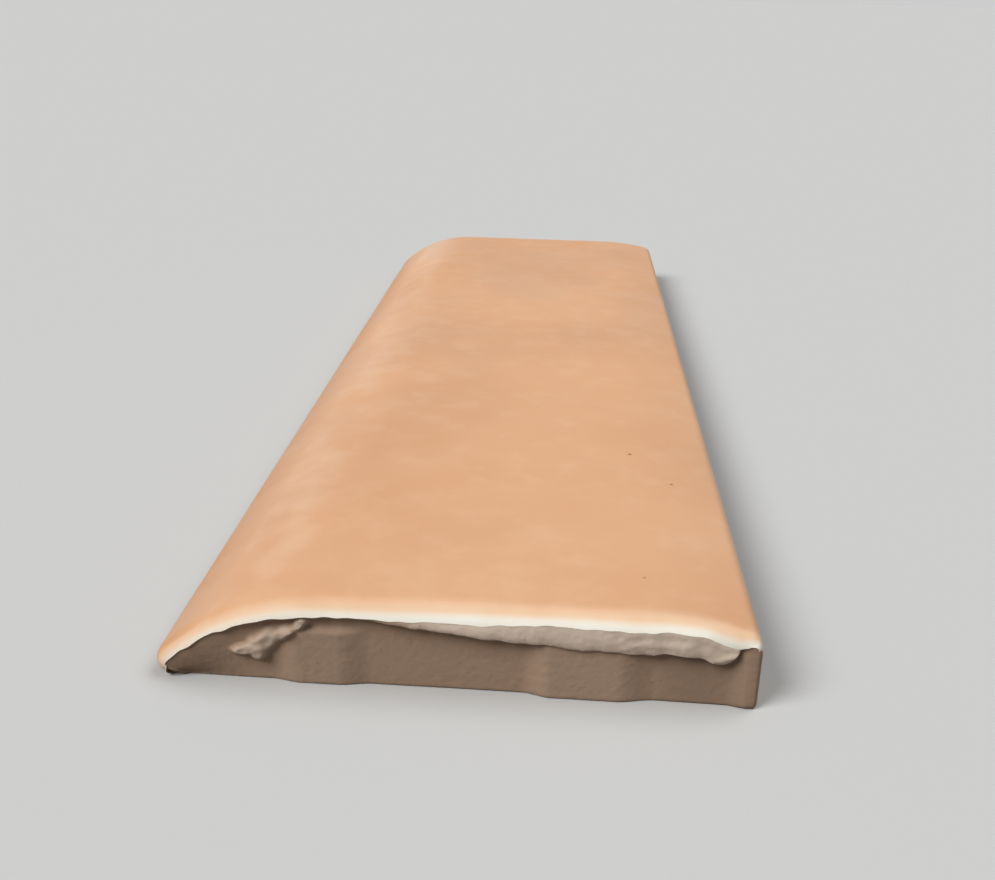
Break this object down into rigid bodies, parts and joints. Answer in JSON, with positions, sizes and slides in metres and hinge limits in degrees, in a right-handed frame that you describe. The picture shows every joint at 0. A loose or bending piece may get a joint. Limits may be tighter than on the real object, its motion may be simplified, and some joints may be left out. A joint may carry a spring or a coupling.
{
  "type": "bullnose ceramic tile",
  "caption": "Glazed ceramic trim tile with a bullnose long edge, rolled glazed edges, bare set-back sides with spacer lugs and a grooved back; finishes the edge of a tiled wall.",
  "frame": {"origin": "centre of the overall box at the back face, which lies on the floor", "axes": "+X from the bullnose to the straight back edge, +Y along the bullnose away from the end in the picture, +Z out of the glazed face"},
  "size_m": [0.0508, 0.1524, 0.0079],
  "materials": {
    "glazed_tile": "satin glaze"
  },
  "bodies": {
    "root": {"bullnose_tile": "glazed_tile"}
  },
  "joints": []
}
